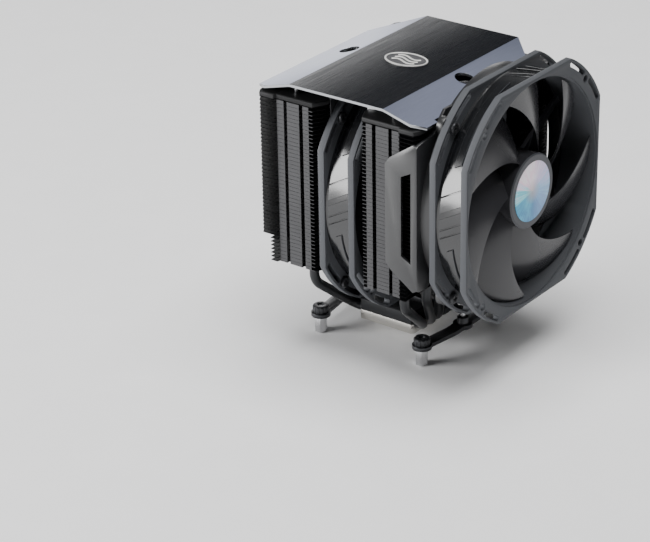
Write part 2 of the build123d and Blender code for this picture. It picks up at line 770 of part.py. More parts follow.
def at_corners(shape):
    half = hole_spacing / 2
    return group([Pos(sx * half, sy * half, 0) * shape for sx in (-1, 1) for sy in (-1, 1)])


# ---- Assembly -----------------------------------------------------------------------------------
def build():
    nodes = {"cold_plate": cold_plate(), "base_block": base_block()}
    for index, row in enumerate(pipe_rows(), start=1):
        nodes[f"heat_pipe_{index}"] = heat_pipe(*row)
    turned = Rot(0, 0, 180)
    halves = {"fins": fin_stack(), "tower_cap": tower_cap(), "driver_sleeve": driver_sleeve()}
    for name, shape in halves.items():
        nodes["front_" + name] = shape
        nodes["rear_" + name] = turned * shape
    nodes["cover_posts"] = group(cover_posts())
    nodes["front_cover_rail"] = front_cover_rail()
    nodes["top_cover"] = top_cover()
    nodes["badge"] = badge()
    nodes["middle_fan_plate"] = middle_fan_plate()
    nodes["front_fan_bracket"] = front_fan_bracket()
    places = {
        "front": fan_place(front_fan_x, front_fan_z),
        "middle": fan_place(-fan_depth / 2, middle_fan_z),
    }
    for name, make in FAN_PARTS.items():
        shape = make()
        for side, place in places.items():
            nodes[f"{side}_{name}"] = place * shape
    nodes["front_fan_screws"] = places["front"] * fan_screws(ear_depth)
    nodes["middle_fan_screws"] = places["middle"] * fan_screws(plate_thickness)
    nodes["mounting_crossbar"] = crossbar()
    movers = {
        "spring_screw": spring_screw(),
        "retaining_clip": retaining_clip(),
        "screw_spring": screw_spring(),
    }
    for name, shape in movers.items():
        nodes["front_" + name] = Pos(screw_offset, 0, 0) * shape
        nodes["rear_" + name] = Pos(-screw_offset, 0, 0) * Rot(0, 0, 180) * shape
    nodes["front_mounting_bar"] = mounting_bar()
    nodes["rear_mounting_bar"] = turned * nodes["front_mounting_bar"]
    nodes["standoffs"] = at_corners(standoff())
    nodes["thumb_nuts"] = at_corners(thumb_nut())
    return nodes


os.makedirs("parts", exist_ok=True)
for node, shape in build().items():
    export_step(shape, f"parts/{node}.step")
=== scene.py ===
"""Shapes, finishes and studio stage for a CPU tower cooler with two fans.

X is the fan axis, +X out of the front fan's intake, Y runs across the fans and Z is up.
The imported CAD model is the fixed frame. Visible pieces are refined round it.
"""
import json
from math import cos, pi, radians, sin

import bpy
from bpy.props import FloatProperty, FloatVectorProperty, IntProperty, PointerProperty
from bpy.types import Operator, Panel, PropertyGroup
from mathutils import Matrix, Vector

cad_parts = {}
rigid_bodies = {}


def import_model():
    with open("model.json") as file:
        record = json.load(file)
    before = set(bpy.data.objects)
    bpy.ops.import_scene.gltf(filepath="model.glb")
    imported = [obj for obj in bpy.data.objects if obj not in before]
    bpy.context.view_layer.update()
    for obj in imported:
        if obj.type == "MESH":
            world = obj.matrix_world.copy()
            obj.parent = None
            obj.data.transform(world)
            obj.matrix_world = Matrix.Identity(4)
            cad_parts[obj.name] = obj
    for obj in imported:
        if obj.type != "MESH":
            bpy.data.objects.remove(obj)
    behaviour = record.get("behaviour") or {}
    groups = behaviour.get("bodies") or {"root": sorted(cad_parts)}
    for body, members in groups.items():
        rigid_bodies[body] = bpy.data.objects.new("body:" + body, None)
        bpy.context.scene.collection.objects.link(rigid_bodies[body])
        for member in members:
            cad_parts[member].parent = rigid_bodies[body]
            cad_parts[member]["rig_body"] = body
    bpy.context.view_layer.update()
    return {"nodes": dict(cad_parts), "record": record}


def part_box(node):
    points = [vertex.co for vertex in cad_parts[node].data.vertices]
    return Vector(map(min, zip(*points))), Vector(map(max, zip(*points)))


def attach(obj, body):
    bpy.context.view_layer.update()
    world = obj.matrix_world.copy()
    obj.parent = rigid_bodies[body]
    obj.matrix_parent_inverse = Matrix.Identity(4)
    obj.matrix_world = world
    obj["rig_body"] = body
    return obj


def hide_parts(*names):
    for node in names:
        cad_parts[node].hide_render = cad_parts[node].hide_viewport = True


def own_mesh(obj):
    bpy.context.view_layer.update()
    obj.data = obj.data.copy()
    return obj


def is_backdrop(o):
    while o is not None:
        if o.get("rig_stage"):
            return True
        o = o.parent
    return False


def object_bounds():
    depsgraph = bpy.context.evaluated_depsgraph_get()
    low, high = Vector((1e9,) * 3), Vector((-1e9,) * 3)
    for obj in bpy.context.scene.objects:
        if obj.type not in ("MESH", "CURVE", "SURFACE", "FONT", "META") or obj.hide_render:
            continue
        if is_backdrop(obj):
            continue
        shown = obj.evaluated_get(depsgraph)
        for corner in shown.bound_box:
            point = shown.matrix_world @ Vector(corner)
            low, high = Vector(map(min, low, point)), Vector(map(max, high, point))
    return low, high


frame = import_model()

bl_info = {
    "name": "CPU Tower Cooler",
    "version": (1, 0, 0),
    "blender": (4, 5, 0),
    "location": "3D View > Sidebar > Cooler",
    "description": "Refines, finishes and stages a dual tower processor cooler",
    "category": "Object",
}

MM = 0.001
NODES = frame["nodes"]
FANS = ("front", "middle")


# ---- Places read from the frame ---------------------------------------------------------------
def centre(node):
    """Middle of a CAD node's box."""
    low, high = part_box(node)
    return (low + high) / 2


def body_of(node):
    """Name of the CAD body that a node rides on."""
    return NODES[node]["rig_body"]


def slot_of(node):
    """The record's material slot of a node."""
    return next(p["material_slot"] for p in frame["record"]["subparts"] if p["node"] == node)


def fan_rear(side):
    """Point on a fan's axis in the plane of its rear face."""
    low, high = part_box(side + "_fan_frame")
    return Vector((low.x, (low.y + high.y) / 2, (low.z + high.z) / 2))


# ---- Sizes and colours a user may change --------------------------------------------------------
def length(name, description, default):
    return FloatProperty(name=name, description=description, default=default, min=0, unit="LENGTH",
                         subtype="DISTANCE", precision=5)


def angle(name, description, degrees):
    return FloatProperty(name=name, description=description, default=radians(degrees), subtype="ANGLE",
                         unit="ROTATION")


def colour(name, description, value):
    return FloatVectorProperty(name=name, description=description, default=value, size=3, min=0, max=1,
                               subtype="COLOR")


class CoolerSizes(PropertyGroup):
    """Sizes of the details that are modelled here."""
    plate_bevel: length("Plate edge", "Bevel on the cover's cut edges", 0.28 * MM)
    mould_bevel: length("Moulded edge", "Bevel on moulded plastic edges", 0.30 * MM)
    metal_bevel: length("Metal edge", "Bevel on small metal pieces", 0.15 * MM)
    barrel_radius: length("Barrel radius", "Outside of a fan's barrel", 69.1 * MM)
    band_rear: length("Band rear", "Start of the raised band, from the fan's rear face", 6.3 * MM)
    band_front: length("Band front", "End of the raised band, in the front flange", 21.4 * MM)
    band_height: length("Band height", "How far the band stands out", 0.8 * MM)
    band_twist: angle("Band twist", "Turn of the band's slanted grooves from rear to front", -6.8)
    strip_rear: length("Strip rear", "Start of the narrow strip, from the fan's rear face", 10.9 * MM)
    strip_front: length("Strip front", "End of the narrow strip", 15.3 * MM)
    strip_height: length("Strip height", "How far the strip stands out from the band", 0.8 * MM)
    spring_wire: length("Spring wire", "Radius of the spring's wire", 0.5 * MM)
    spring_coils: IntProperty(name="Spring coils", description="Working coils of each spring", default=4,
                              min=2)


class CoolerColours(PropertyGroup):
    """Base colours of the finishes."""
    cover: colour("Cover", "Brushed middle of the cover", (0.006, 0.007, 0.010))
    # Wing colour: far paler than the middle, this pale blue-grey is partly painted reflection of the bright
    # backdrop on the tilted wings, over their own satin finish.
    wing: colour("Wing", "Satin wings of the cover", (0.19, 0.21, 0.29))
    cut_edge: colour("Cut edge", "Bright cut edges", (0.42, 0.43, 0.45))
    fins: colour("Fins", "Coating on the fins", (0.006, 0.0065, 0.0075))
    # Painted highlight: the upright tabs are paler than the fin coating to stand in for the key light falling
    # on them.
    fin_tab_highlight_colour: colour("Fin tabs", "Folded tabs of the fins", (0.050, 0.050, 0.053))
    # Painted shadow: the thin cut edges are darker than the coating to stand in for the shaded gaps between
    # neighbouring fins.
    fin_gap_shadow_colour: colour("Fin edges", "Thin cut edges of the fins", (0.002, 0.002, 0.0022))
    caps: colour("Caps", "Moulded caps of the towers", (0.018, 0.018, 0.019))
    frame: colour("Fan frame", "Moulded frame of the fans", (0.008, 0.0085, 0.010))
    blades: colour("Blades", "Fan blades and hub", (0.005, 0.006, 0.008))
    hub_rim: colour("Hub rim", "Matt face of the hub round its disc", (0.055, 0.058, 0.067))
    bracket: colour("Bracket", "Front fan's bracket", (0.014, 0.0145, 0.016))
    pipes: colour("Heat pipes", "Coating on the heat pipes", (0.02, 0.021, 0.023))
    steel: colour("Steel", "Plated steel", (0.55, 0.55, 0.56))
    floor: colour("Floor", "Studio floor", (0.97, 0.97, 0.975))


class CoolerStage(PropertyGroup):
    """Camera, seen from the origin of the frame, and lights."""
    azimuth: angle("Azimuth", "Camera's turn round the cooler", 37.422)
    elevation: angle("Elevation", "Camera above the horizon", 25.923)
    roll: angle("Roll", "Camera's tilt about its own axis", 1.042)
    distance: length("Distance", "Camera to its target", 1.4803)
    lens: FloatProperty(name="Lens", description="Focal length in millimetres", default=134.97, min=10)
    target: FloatVectorProperty(name="Target", description="Point the camera looks at", subtype="TRANSLATION",
                                default=(-0.039294, -0.030337, 0.029292), unit="LENGTH")
    key_power: FloatProperty(name="Key", description="Low light at the left, in watts", default=64.0, min=0)
    back_power: FloatProperty(name="Back", description="Low light behind the cooler, in watts", default=8.0,
                              min=0)
    ridge_power: FloatProperty(name="Ridge", description="Small light for the front wing, in watts",
                               default=1.6, min=0)
    top_power: FloatProperty(name="Top", description="Overhead light, in watts", default=72.0, min=0)
    world_strength: FloatProperty(name="World", description="Even light from all round", default=0.05, min=0)


def sizes():
    return bpy.context.scene.cooler_sizes


def colours():
    return bpy.context.scene.cooler_colours


def stage():
    return bpy.context.scene.cooler_stage


# ---- Modelling steps --------------------------------------------------------------------------------
def deselect():
    if bpy.context.mode != "OBJECT":
        bpy.ops.object.mode_set(mode="OBJECT")
    bpy.ops.object.select_all(action="DESELECT")


def only(piece):
    deselect()
    piece.select_set(True)
    bpy.context.view_layer.objects.active = piece


def settle(piece):
    """Puts the object's place, turn and scale into its mesh."""
    only(piece)
    bpy.ops.object.transform_apply(location=True, rotation=True, scale=True)


def block(name, middle, size):
    """A cube primitive of the given size, in place."""
    deselect()
    bpy.ops.mesh.primitive_cube_add(size=1, location=middle, scale=size)
    piece = bpy.context.object
    piece.name = name
    settle(piece)
    return piece


def modify(piece, kind, **values):
    """Adds one modifier and applies it."""
    only(piece)
    modifier = piece.modifiers.new(kind.title(), kind)
    for key, value in values.items():
        setattr(modifier, key, value)
    bpy.ops.object.modifier_apply(modifier=modifier.name)


def soften(piece, width, segments=2, limit=35.0):
    """Bevels every edge sharper than the limit, then shades the rest smooth."""
    modify(piece, "BEVEL", width=width, segments=segments, limit_method="ANGLE", angle_limit=radians(limit),
           harden_normals=False, use_clamp_overlap=True)
    only(piece)
    bpy.ops.object.shade_smooth_by_angle(angle=radians(limit - 5))


def pick(piece, test, kind="FACE"):
    """Goes into edit mode with only the faces or edges that pass the test selected."""
    only(piece)
    bpy.ops.object.mode_set(mode="EDIT")
    bpy.ops.mesh.select_mode(type=kind)
    bpy.ops.mesh.select_all(action="DESELECT")
    bpy.ops.object.mode_set(mode="OBJECT")
    mesh = piece.data
    if kind == "FACE":
        for face in mesh.polygons:
            face.select = test(face.center, face.normal)
    else:
        for edge in mesh.edges:
            a, b = (mesh.vertices[i].co for i in edge.vertices)
            edge.select = test((a + b) / 2, b - a)
    bpy.ops.object.mode_set(mode="EDIT")


def leave():
    bpy.ops.object.mode_set(mode="OBJECT")


def copy_of(node, name):
    """A merged copy of a CAD node's mesh, with flat areas joined into whole faces."""
    deselect()
    piece = NODES[node].copy()
    piece.data = NODES[node].data.copy()
    piece.name = name
    piece.parent = None
    for key in list(piece.keys()):
        if key.startswith("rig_"):
            del piece[key]
    bpy.context.scene.collection.objects.link(piece)
    only(piece)
    bpy.ops.object.mode_set(mode="EDIT")
    bpy.ops.mesh.select_all(action="SELECT")
    bpy.ops.mesh.customdata_custom_splitnormals_clear()
    bpy.ops.mesh.remove_doubles(threshold=1e-6)
    bpy.ops.mesh.dissolve_limited(angle_limit=radians(0.4))
    leave()
    return piece


def join(pieces, name):
    """Joins pieces into the first one."""
    deselect()
    for piece in pieces:
        piece.select_set(True)
    bpy.context.view_layer.objects.active = pieces[0]
    if len(pieces) > 1:
        bpy.ops.object.join()
    pieces[0].name = name
    return pieces[0]


def turned(piece, turn, name):
    """A copy of a piece with its own mesh, moved by a matrix."""
    twin = piece.copy()
    twin.data = piece.data.copy()
    twin.name = name
    twin.data.transform(turn)
    bpy.context.scene.collection.objects.link(twin)
    return twin


def install(piece, body, slot, *materials, replaces=()):
    """Gives a finished piece its materials and body, and hides the CAD nodes that it stands for. The slot is
    not used.
    """
    piece.data.materials.clear()
    for material in materials:
        piece.data.materials.append(material)
    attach(piece, body)
    if replaces:
        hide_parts(*replaces)
    return piece


def refine(node, name, material, bevel, **options):
    """Replaces a CAD node by a bevelled copy with a finish."""
    piece = copy_of(node, name)
    soften(piece, bevel, **options)
    return install(piece, body_of(node), slot_of(node), material, replaces=[node])


def finish_node(node, material):
    """Gives a carried-over CAD node its finish."""
    NODES[node].data.materials.clear()
    NODES[node].data.materials.append(material)


# ---- Shader node groups -----------------------------------------------------------------------------
def new_group(name, inputs, outputs):
    """An empty shader group with named sockets, and its input and output nodes."""
    group = bpy.data.node_groups.new(name, "ShaderNodeTree")
    for label, kind, default in inputs:
        socket = group.interface.new_socket(name=label, in_out="INPUT", socket_type="NodeSocket" + kind)
        if default is not None:
            socket.default_value = default
    for label, kind in outputs:
        group.interface.new_socket(name=label, in_out="OUTPUT", socket_type="NodeSocket" + kind)
    return group, group.nodes.new("NodeGroupInput"), group.nodes.new("NodeGroupOutput")


def node(tree, kind, inputs=None, **settings):
    """A shader node with its settings, and values or links for its inputs."""
    made = tree.nodes.new("ShaderNode" + kind)
    for key, value in settings.items():
        setattr(made, key, value)
    for key, value in (inputs or {}).items():
        if isinstance(value, bpy.types.NodeSocket):
            tree.links.new(value, made.inputs[key])
        else:
            made.inputs[key].default_value = value
    return made


def grain_group():
    """Fine moulded or cast grain: colour variation, roughness and height."""
    group, source, sink = new_group(
        "Surface Grain",
        [("Vector", "Vector", None), ("Colour", "Color", (0.5, 0.5, 0.5, 1)), ("Spread", "Float", 0.15),
         ("Roughness", "Float", 0.5), ("Scale", "Float", 1500.0)],
        [("Colour", "Color"), ("Roughness", "Float"), ("Height", "Float")])
    grain = node(group, "TexNoise", {"Vector": source.outputs["Vector"], "Scale": source.outputs["Scale"],
                                     "Detail": 2.0, "Roughness": 0.6})
    patches = node(group, "TexNoise", {"Vector": source.outputs["Vector"], "Scale": 38.0, "Detail": 3.0})
    shade = node(group, "MapRange", {"Value": patches.outputs["Fac"], "From Min": 0.3, "From Max": 0.7})
    amount = node(group, "Math", {0: source.outputs["Spread"], 1: -1.0}, operation="MULTIPLY")
    factor = node(group, "MapRange", {"Value": shade.outputs["Result"], "To Min": amount.outputs[0],
                                      "To Max": source.outputs["Spread"]})
    gain = node(group, "Math", {0: factor.outputs["Result"], 1: 1.0}, operation="ADD")
    tint = node(group, "VectorMath", {0: source.outputs["Colour"]}, operation="SCALE")
    group.links.new(gain.outputs[0], tint.inputs["Scale"])
    rough = node(group, "MapRange", {"Value": patches.outputs["Fac"], "From Min": 0.3, "From Max": 0.7,
                                     "To Min": -0.05, "To Max": 0.05})
    total = node(group, "Math", {0: rough.outputs["Result"], 1: source.outputs["Roughness"]}, operation="ADD")
    group.links.new(tint.outputs["Vector"], sink.inputs["Colour"])
    group.links.new(total.outputs[0], sink.inputs["Roughness"])
    group.links.new(grain.outputs["Fac"], sink.inputs["Height"])
    return group


def brush_group():
    """Fine lines of brushed metal along one axis: colour, roughness and height."""
    group, source, sink = new_group(
        "Brushed Lines",
        [("Vector", "Vector", None), ("Colour", "Color", (0.5, 0.5, 0.5, 1)), ("Contrast", "Float", 0.35),
         ("Roughness", "Float", 0.35)],
        [("Colour", "Color"), ("Roughness", "Float"), ("Height", "Float")])
    fine = node(group, "TexNoise", {"Vector": source.outputs["Vector"], "Scale": 1.0, "Detail": 4.0,
                                    "Roughness": 0.65})
    lines = node(group, "MapRange", {"Value": fine.outputs["Fac"], "From Min": 0.32, "From Max": 0.68,
                                     "To Min": -1.0, "To Max": 1.0})
    swing = node(group, "Math", {0: lines.outputs["Result"], 1: source.outputs["Contrast"]},
                 operation="MULTIPLY")
    gain = node(group, "Math", {0: swing.outputs[0], 1: 1.0}, operation="ADD")
    tint = node(group, "VectorMath", {0: source.outputs["Colour"]}, operation="SCALE")
    group.links.new(gain.outputs[0], tint.inputs["Scale"])
    rough = node(group, "Math", {0: swing.outputs[0], 1: 0.25}, operation="MULTIPLY")
    total = node(group, "Math", {0: source.outputs["Roughness"], 1: rough.outputs[0]}, operation="SUBTRACT")
    group.links.new(tint.outputs["Vector"], sink.inputs["Colour"])
    group.links.new(total.outputs[0], sink.inputs["Roughness"])
    group.links.new(fine.outputs["Fac"], sink.inputs["Height"])
    return group


def shared(name, make):
    return bpy.data.node_groups.get(name) or make()


# ---- Finishes ---------------------------------------------------------------------------------------
def new_material(name, **sockets):
    """A material with one Principled shader, its plain values set on the shader itself."""
    material = bpy.data.materials.get(name)
    if material:
        return material, None
    material = bpy.data.materials.new(name)
    material.use_nodes = True
    shader = material.node_tree.nodes["Principled BSDF"]
    for key, value in sockets.items():
        shader.inputs[key.replace("_", " ")].default_value = value
    return material, shader


def feed(tree, shader, effect, height, depth):
    """Links a group's colour and roughness to the shader, and its height through a bump."""
    tree.links.new(effect.outputs["Colour"], shader.inputs["Base Color"])
    tree.links.new(effect.outputs["Roughness"], shader.inputs["Roughness"])
    bump = node(tree, "Bump", {"Strength": height, "Distance": depth, "Height": effect.outputs["Height"]})
    tree.links.new(bump.outputs["Normal"], shader.inputs["Normal"])


def place_vector(tree, scale=(1, 1, 1), location=(0, 0, 0), rotation=(0, 0, 0)):
    """Object coordinates through a mapping."""
    coordinates = node(tree, "TexCoord")
    mapping = node(tree, "Mapping", {"Vector": coordinates.outputs["Object"], "Scale": scale,
                                     "Location": location, "Rotation": rotation})
    return mapping.outputs["Vector"]


def moulded(name, base, roughness, spread=0.12, scale=2600.0, bump=0.25, **sockets):
    """Moulded plastic or coated metal with a fine even grain."""
    material, shader = new_material(name, **sockets)
    if shader:
        tree = material.node_tree
        effect = node(tree, "Group", node_tree=shared("Surface Grain", grain_group))
        tree.links.new(place_vector(tree), effect.inputs["Vector"])
        effect.inputs["Colour"].default_value = (*base, 1)
        effect.inputs["Spread"].default_value = spread
        effect.inputs["Roughness"].default_value = roughness
        effect.inputs["Scale"].default_value = scale
        feed(tree, shader, effect, bump, 0.02 * MM)
    return material


def brushed(name, base, roughness, contrast, scale, bump=0.2, **sockets):
    """Metal with fine lines; scale sets how they stretch along X, Y and Z."""
    material, shader = new_material(name, **sockets)
    if shader:
        tree = material.node_tree
        effect = node(tree, "Group", node_tree=shared("Brushed Lines", brush_group))
        tree.links.new(place_vector(tree, scale=scale), effect.inputs["Vector"])
        effect.inputs["Colour"].default_value = (*base, 1)
        effect.inputs["Contrast"].default_value = contrast
        effect.inputs["Roughness"].default_value = roughness
        feed(tree, shader, effect, bump, 0.02 * MM)
    return material


def cover_brushed():
    return brushed("cover_brushed", colours().cover, 0.30, 0.60, (3200, 26, 900), bump=0.10, Metallic=0.3,
                   Specular_IOR_Level=0.05)


# Satin wings whose pale blue-grey base is partly a painted reflection of the bright backdrop.
def wing_painted_reflection():
    return brushed("wing_painted_reflection", colours().wing, 0.30, 0.06, (2200, 60, 900), bump=0.06, Metallic=0.75)


def cut_edge():
    return brushed("cut_edge", colours().cut_edge, 0.22, 0.05, (900, 900, 900), bump=0.05, Metallic=1.0)


def fin_coating():
    return moulded("fin_coating", colours().fins, 0.5, 0.08, 1800.0, 0.15, Metallic=0.3,
                   Specular_IOR_Level=0.25)


# Painted highlight on the upright fin tabs, where the key light falls.
def fin_tab_highlight():
    return moulded("fin_tab_highlight", colours().fin_tab_highlight_colour, 0.42, 0.06, 1800.0, 0.15, Metallic=0.4)


# Painted shadow of the gaps between fins, on the thin cut edges.
def fin_gap_shadow():
    return moulded("fin_gap_shadow", colours().fin_gap_shadow_colour, 0.6, 0.08, 1800.0, 0.1, Metallic=0.2,
                   Specular_IOR_Level=0.05)


def cap_plastic():
    return moulded("cap_plastic", colours().caps, 0.5, 0.15, 2600.0, 0.3, Specular_IOR_Level=0.2)


def frame_plastic():
    return moulded("frame_plastic", colours().frame, 0.34, 0.10, 2600.0, 0.22, Specular_IOR_Level=0.13)


def band_gloss():
    return moulded("band_gloss", colours().frame, 0.18, 0.10, 2600.0, 0.05, Specular_IOR_Level=0.85)


def blade_plastic():
    return moulded("blade_plastic", colours().blades, 0.26, 0.10, 2200.0, 0.06, Specular_IOR_Level=0.12)


def hub_rim():
    return moulded("hub_rim", colours().hub_rim, 0.5, 0.05, 2600.0, 0.2)


def bracket_plastic():
    return moulded("bracket_plastic", colours().bracket, 0.36, 0.10, 2400.0, 0.3, Specular_IOR_Level=0.80)


def pipe_coating():
    return moulded("pipe_coating", colours().pipes, 0.30, 0.12, 1200.0, 0.1, Metallic=0.4)


def steel(name="plated_steel", roughness=0.26, scale=(700, 700, 60)):
    return brushed(name, colours().steel, roughness, 0.08, scale, bump=0.08, Metallic=1.0)


def dark_steel():
    return brushed("black_zinc", (0.05, 0.051, 0.055), 0.35, 0.2, (900, 120, 900), bump=0.1, Metallic=0.7)


def badge_metal():
    return brushed("badge_metal", (0.80, 0.79, 0.77), 0.30, 0.05, (300, 2600, 900), bump=0.05, Metallic=0.35)


def badge_field():
    return moulded("badge_field", (0.05, 0.05, 0.055), 0.45, 0.05, 2600.0, 0.3, Metallic=0.3)


def nickel():
    return brushed("nickel", (0.66, 0.64, 0.60), 0.16, 0.05, (1400, 40, 900), bump=0.05, Metallic=1.0)


def copper_wire():
    return moulded("copper_wire", (0.55, 0.21, 0.08), 0.3, 0.2, 900.0, 0.2, Metallic=0.9)


def core_steel():
    return brushed("core_steel", (0.32, 0.32, 0.33), 0.4, 0.4, (2600, 60, 60), bump=0.3, Metallic=0.9)


def bronze():
    return moulded("bearing_bronze", (0.48, 0.30, 0.13), 0.35, 0.1, 900.0, 0.1, Metallic=1.0)


def board_lacquer():
    return moulded("board_lacquer", (0.012, 0.10, 0.04), 0.3, 0.25, 500.0, 0.1)


def magnet():
    return moulded("magnet", (0.04, 0.04, 0.042), 0.6, 0.1, 1500.0, 0.2)


def hub_foil_and_sheen(side):
    """Foil disc with rays of shifting colour, centred on a fan's axis. The streaky rays are the foil's own
    pattern; the sweep from deep blue below to near white above and the violet on the +Y side are painted
    sheen of the lights on the foil.
    """
    material, shader = new_material("hub_foil_and_sheen_" + side, Metallic=0.2, Roughness=0.35, Coat_Weight=0.15,
                                    Coat_Roughness=0.05)
    if shader is None:
        return material
    tree = material.node_tree
    middle = fan_rear(side)
    local = place_vector(tree, location=(0, -middle.y, -middle.z))
    parts = node(tree, "SeparateXYZ", {"Vector": local})
    flat = node(tree, "CombineXYZ", {"Y": parts.outputs["Y"], "Z": parts.outputs["Z"]})
    radius = node(tree, "VectorMath", {0: flat.outputs["Vector"]}, operation="LENGTH")
    heading = node(tree, "VectorMath", {0: flat.outputs["Vector"]}, operation="NORMALIZE")
    compass = node(tree, "SeparateXYZ", {"Vector": heading.outputs["Vector"]})
    streaks = node(tree, "TexNoise", {"Vector": heading.outputs["Vector"], "Scale": 9.0, "Detail": 4.0,
                                      "Roughness": 0.7})
    clouds = node(tree, "TexNoise", {"Vector": local, "Scale": 110.0, "Detail": 2.0})
    jitter = node(tree, "MapRange", {"Value": streaks.outputs["Fac"], "From Min": 0.3, "From Max": 0.7,
                                     "To Min": -0.28, "To Max": 0.28})
    cloud = node(tree, "MapRange", {"Value": clouds.outputs["Fac"], "From Min": 0.3, "From Max": 0.7,
                                    "To Min": -0.15, "To Max": 0.15})
    # Painted sheen: the foil runs from deep blue at the bottom to near white at the top, as the lights play
    # on it.
    rise = node(tree, "MapRange", {"Value": compass.outputs["Z"], "From Min": -1.0, "From Max": 1.0})
    rough_level = node(tree, "Math", {0: rise.outputs["Result"], 1: jitter.outputs["Result"]},
                       operation="ADD")
    level = node(tree, "Math", {0: rough_level.outputs[0], 1: cloud.outputs["Result"]}, operation="ADD")
    ramp = node(tree, "ValToRGB", {"Fac": level.outputs[0]})
    stops = [(0.0, (0.04, 0.24, 0.50)), (0.25, (0.07, 0.44, 0.66)), (0.5, (0.22, 0.74, 0.84)),
             (0.68, (0.72, 0.78, 0.95)), (0.85, (0.98, 0.72, 0.88)), (1.0, (1.0, 0.92, 1.0))]
    elements = ramp.color_ramp.elements
    while len(elements) < len(stops):
        elements.new(0.5)
    for element, (position, value) in zip(elements, stops):
        element.position = position
        element.color = (*value, 1)
    # Painted sheen: a violet cast on the +Y side of the disc.
    side_sheen = node(tree, "MapRange", {"Value": compass.outputs["Y"], "From Min": 0.0, "From Max": 1.0,
                                      "To Min": 0.0, "To Max": 0.6})
    violet_sheen = node(tree, "Mix", {"Factor": side_sheen.outputs["Result"]}, data_type="RGBA")
    tree.links.new(ramp.outputs["Color"], violet_sheen.inputs["A"])
    violet_sheen.inputs["B"].default_value = (0.36, 0.45, 0.85, 1)
    near = node(tree, "MapRange", {"Value": radius.outputs["Value"], "From Min": 1.5 * MM,
                                   "From Max": 8.0 * MM, "To Min": 0.75, "To Max": 0.0})
    core = node(tree, "Mix", {"Factor": near.outputs["Result"]}, data_type="RGBA")
    tree.links.new(violet_sheen.outputs["Result"], core.inputs["A"])
    core.inputs["B"].default_value = (0.50, 0.47, 0.50, 1)
    tree.links.new(core.outputs["Result"], shader.inputs["Base Color"])
    bump = node(tree, "Bump", {"Strength": 0.15, "Distance": 0.02 * MM, "Height": streaks.outputs["Fac"]})
    tree.links.new(bump.outputs["Normal"], shader.inputs["Normal"])
    return material


# ---- Operators: one for each piece or group of like pieces ---------------------------------------------
class COOLER_OT_top_cover(Operator):
    """Bent top cover with a brushed middle, satin wings whose pale blue-grey is partly their own finish and
    partly a painted reflection of the bright backdrop, and bright cut edges
    """
    bl_idname = "cooler.top_cover"
    bl_label = "Top Cover"

    def execute(self, context):
        piece = copy_of("top_cover", "cover_plate")
        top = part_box("top_cover")[1].z
        flat_half = max(v.co.x for v in piece.data.vertices if v.co.z > top - 1e-5)
        soften(piece, sizes().plate_bevel, segments=1, limit=40.0)
        install(piece, body_of("top_cover"), slot_of("top_cover"), cover_brushed(), wing_painted_reflection(), cut_edge(),
                cap_plastic(), replaces=["top_cover"])
        for face in piece.data.polygons:
            upward = face.normal.z
            if upward > 0.94:
                # Tilted top faces beside the flat middle get the wing finish, with its painted reflection.
                face.material_index = 0 if abs(face.center.x) < flat_half else 1
            elif upward < -0.94:
                face.material_index = 3
            else:
                face.material_index = 2
        return {"FINISHED"}


class COOLER_OT_badge(Operator):
    """Oval badge with a rim and waves of air"""
    bl_idname = "cooler.badge"
    bl_label = "Badge"

    def execute(self, context):
        piece = copy_of("badge", "badge_plate")
        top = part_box("badge")[1].z
        soften(piece, 0.08 * MM, segments=1, limit=40.0)
        install(piece, body_of("badge"), slot_of("badge"), badge_metal(), badge_field(), replaces=["badge"])
        for face in piece.data.polygons:
            sunk = face.center.z < top - 0.2 * MM and face.normal.z > 0.9
            face.material_index = 1 if sunk else 0
        return {"FINISHED"}


class COOLER_OT_fins(Operator):
    """Two stacks of coated fins, with a painted highlight on the upright tabs and painted shadow on the thin
    cut edges
    """
    bl_idname = "cooler.fins"
    bl_label = "Fins"

    def execute(self, context):
        for side in ("front", "rear"):
            node_name = side + "_fins"
            piece = copy_of(node_name, side + "_stack")
            install(piece, body_of(node_name), slot_of(node_name), fin_coating(), fin_tab_highlight(), fin_gap_shadow(),
                    replaces=[node_name])
            points = piece.data.vertices
            for face in piece.data.polygons:
                heights = [points[i].co.z for i in face.vertices]
                tall = max(heights) - min(heights)
                # Upright faces: tall tabs get the painted highlight, thin cut edges the painted shadow of the
                # gaps between fins.
                if abs(face.normal.z) < 0.5:
                    face.material_index = 1 if tall > 1.0 * MM else 2
        return {"FINISHED"}


class COOLER_OT_caps(Operator):
    """Caps of the towers, posts, rail and driver sleeves"""
    bl_idname = "cooler.caps"
    bl_label = "Caps and Supports"

    def execute(self, context):
        for side in ("front", "rear"):
            refine(side + "_tower_cap", side + "_cap", cap_plastic(), sizes().mould_bevel)
            refine(side + "_driver_sleeve", side + "_sleeve", steel(), sizes().metal_bevel)
        refine("cover_posts", "posts", steel(), sizes().metal_bevel)
        refine("front_cover_rail", "cover_rail", steel(), sizes().metal_bevel)
        return {"FINISHED"}


class COOLER_OT_heat_pipes(Operator):
    """Coated heat pipes"""
    bl_idname = "cooler.heat_pipes"
    bl_label = "Heat Pipes"

    def execute(self, context):
        for name in NODES:
            if name.startswith("heat_pipe"):
                finish_node(name, pipe_coating())
        return {"FINISHED"}


class COOLER_OT_base(Operator):
    """Plated cold plate and coated base block"""
    bl_idname = "cooler.base"
    bl_label = "Base"

    def execute(self, context):
        refine("cold_plate", "contact_plate", nickel(), sizes().metal_bevel)
        refine("base_block", "clamp_block", pipe_coating(), sizes().metal_bevel)
        return {"FINISHED"}


